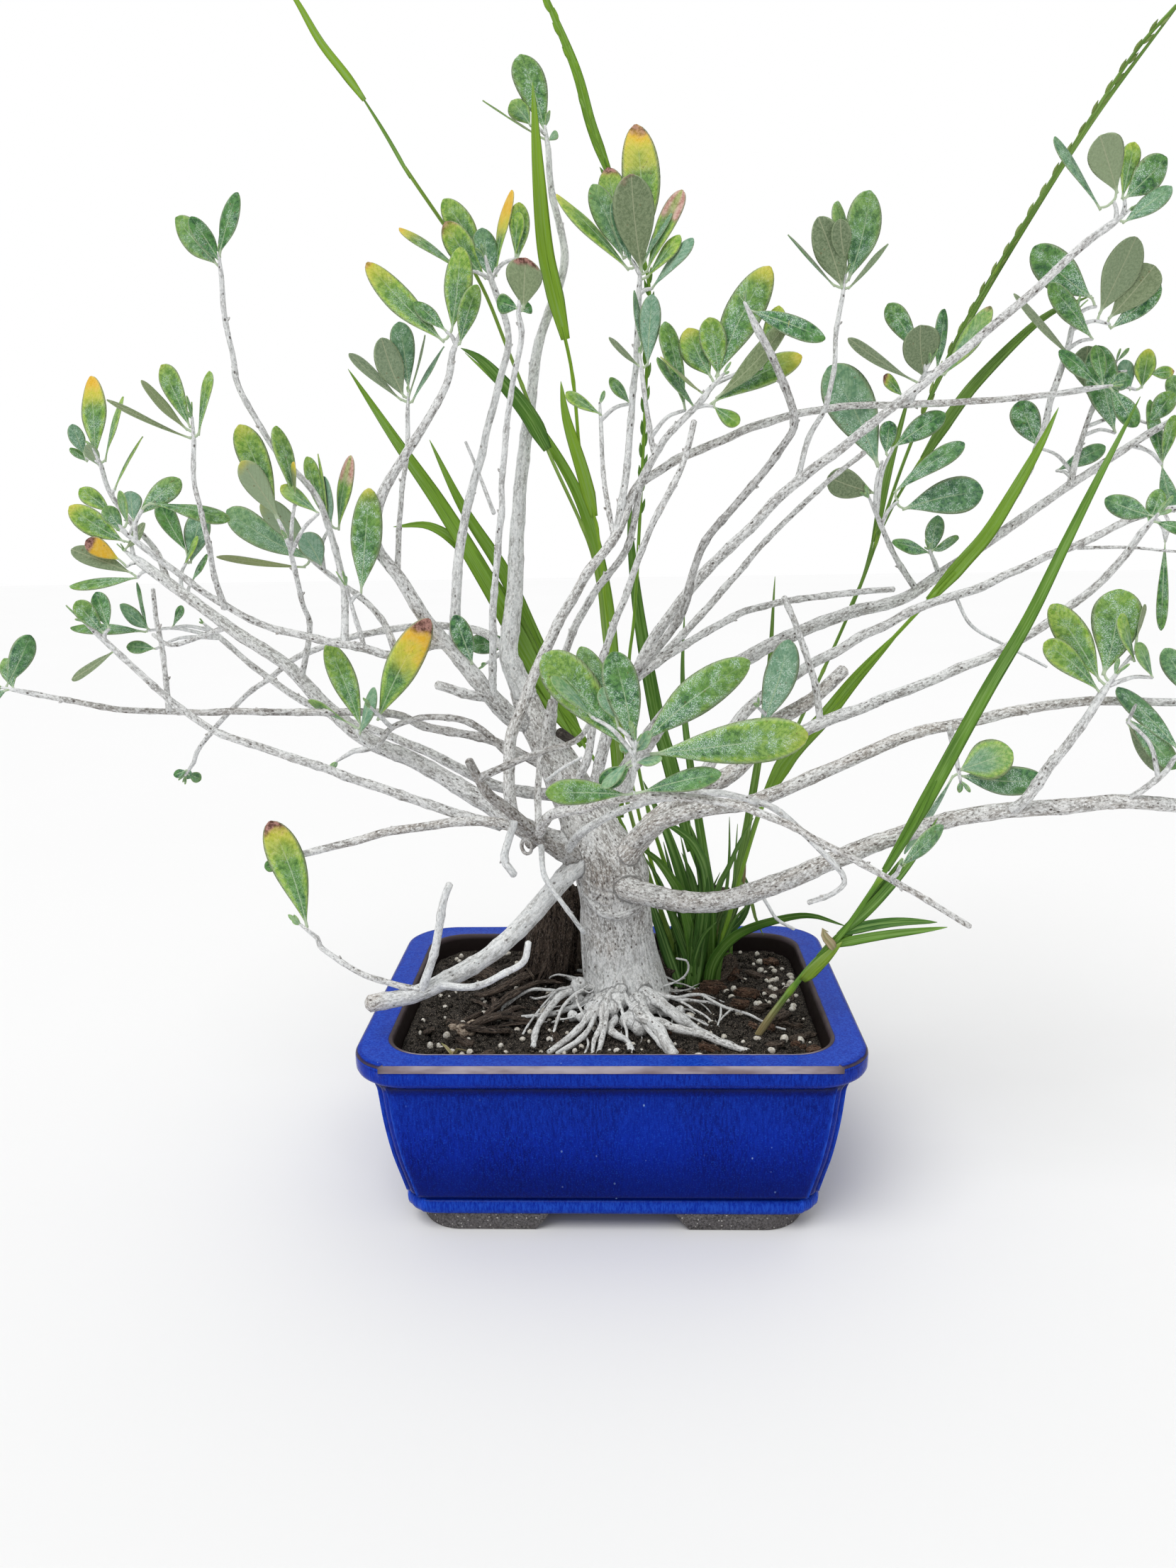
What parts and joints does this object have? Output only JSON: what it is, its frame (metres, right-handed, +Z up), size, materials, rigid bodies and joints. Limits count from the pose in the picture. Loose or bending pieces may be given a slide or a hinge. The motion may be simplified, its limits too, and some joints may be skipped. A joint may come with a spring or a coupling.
{
  "type": "olive bonsai",
  "caption": "Small bonsai olive tree with a stout bare trunk, long thin limbs and leafy tips, in a low rectangular glazed pot of dark soil with grass growing behind the trunk.",
  "frame": {"origin": "centre of the whole plant in plan, on the surface that the pot's feet stand on", "axes": "+X to the right along the pot's long side, +Y from the viewer to the back, +Z up"},
  "size_m": [0.535, 0.1847, 0.5033],
  "materials": {
    "glazed_pot": "glossy cobalt glaze, bare brown clay where it breaks at the rim and on the feet",
    "potting_soil": "loose dark bark mix with white perlite",
    "olive_bark": "dry pale grey bark with tan patches",
    "olive_leaf": "satin leathery leaf, speckled green above and grey-green below",
    "grass_blade": "satin green blade with a pale midrib"
  },
  "bodies": {
    "root": {"grass_behind_trunk": "grass_blade", "grass_bright": "grass_blade", "grass_by_trunk": "grass_blade", "grass_left_tuft": "grass_blade", "grass_right_shoot": "grass_blade", "grass_seed_stalk": "grass_blade", "grass_sprout": "grass_blade", "grass_tall_back": "grass_blade", "grass_tall_left": "grass_blade", "grass_tall_middle": "grass_blade", "leaves_arch": "olive_leaf", "leaves_arch_fork": "olive_leaf", "leaves_arch_fork_twig": "olive_leaf", "leaves_arch_knot": "olive_leaf", "leaves_arch_riser": "olive_leaf", "leaves_arch_spur": "olive_leaf", "leaves_crown_dark": "olive_leaf", "leaves_crown_front": "olive_leaf", "leaves_crown_left": "olive_leaf", "leaves_crown_top": "olive_leaf", "leaves_dark_front_twig": "olive_leaf", "leaves_front_low_twig": "olive_leaf", "leaves_left_arched": "olive_leaf", "leaves_left_arched_spur": "olive_leaf", "leaves_left_back": "olive_leaf", "leaves_left_front": "olive_leaf", "leaves_left_inner": "olive_leaf", "leaves_left_level": "olive_leaf", "leaves_left_long": "olive_leaf", "leaves_left_main": "olive_leaf", "leaves_left_main_riser": "olive_leaf", "leaves_left_main_top": "olive_leaf", "leaves_left_rear": "olive_leaf", "leaves_left_riser": "olive_leaf", "leaves_left_tall": "olive_leaf", "leaves_left_tall_outer": "olive_leaf", "leaves_left_upper": "olive_leaf", "leaves_left_upper_fork": "olive_leaf", "leaves_left_upper_spur": "olive_leaf", "leaves_right_high": "olive_leaf", "leaves_right_high_end": "olive_leaf", "leaves_right_high_pale": "olive_leaf", "leaves_right_high_shoot": "olive_leaf", "leaves_right_high_spur": "olive_leaf", "leaves_right_low": "olive_leaf", "leaves_right_low_fork": "olive_leaf", "leaves_right_low_spur": "olive_leaf", "leaves_right_main_fork": "olive_leaf", "leaves_right_main_spur": "olive_leaf", "leaves_right_middle": "olive_leaf", "leaves_right_second": "olive_leaf", "leaves_right_second_spur": "olive_leaf", "leaves_riser_dead": "olive_leaf", "leaves_riser_right": "olive_leaf", "leaves_riser_tip": "olive_leaf", "leaves_whip_shoot": "olive_leaf", "leaves_whip_tip": "olive_leaf", "olive_wood": "olive_bark", "pot": "glazed_pot", "soil": "potting_soil"}
  },
  "joints": []
}
